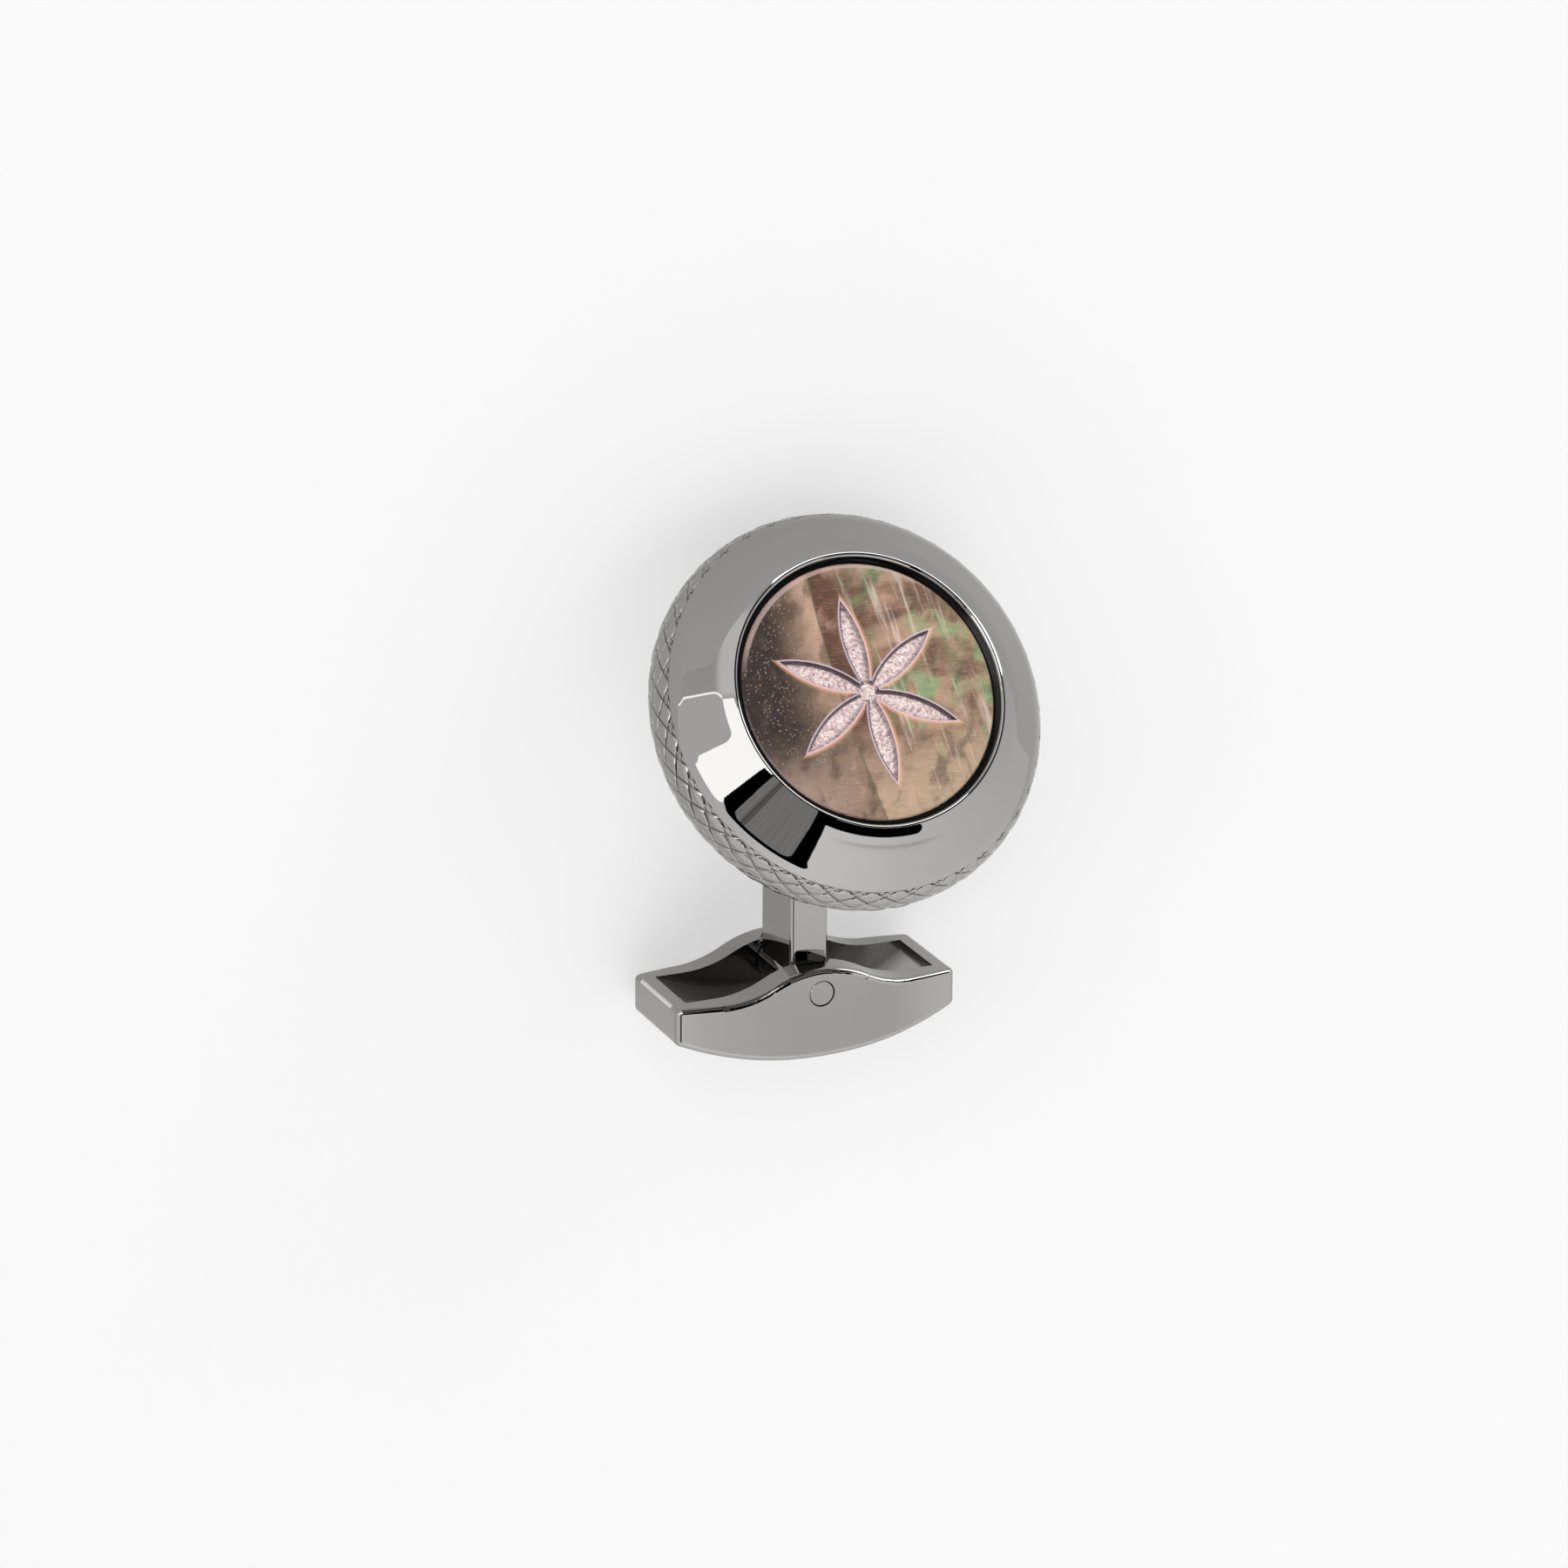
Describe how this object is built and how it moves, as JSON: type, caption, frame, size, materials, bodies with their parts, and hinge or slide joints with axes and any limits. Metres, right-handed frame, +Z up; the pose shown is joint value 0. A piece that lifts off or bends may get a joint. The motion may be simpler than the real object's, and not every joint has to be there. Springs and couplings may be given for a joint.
{
  "type": "swivel bar cufflink",
  "caption": "Cufflink with a round head, knurled rim, engraved dark shell inlay, and a bent post ending in a hollow boat-shaped swivel bar on a cross pin.",
  "frame": {"origin": "bottom centre of the whole cufflink's box, as it lies on the side of its swivel bar and the round side of its head", "axes": "+X along the swivel bar, +Y along the surface from the bar to the head, +Z up from the surface that it lies on"},
  "size_m": [0.018, 0.0254, 0.0135],
  "materials": {
    "gunmetal": "dark gunmetal plating, polished",
    "black_lining": "glossy black",
    "dark_shell": "polished dark mother-of-pearl with an engraved recess of silvery pink"
  },
  "bodies": {
    "link": {"case_ring": "gunmetal", "inlay_seat": "black_lining", "shell_disc": "dark_shell", "back_post": "gunmetal"},
    "toggle": {"toggle_bar": "gunmetal", "pivot_pin": "gunmetal"}
  },
  "joints": [
    {"name": "bar_swivel", "type": "hinge", "parent": "link", "child": "toggle", "pos_m": [0, -0.00925, 0.00319], "axis": [0, 0.1258, 0.9921], "range_deg": [-80, 80]}
  ]
}
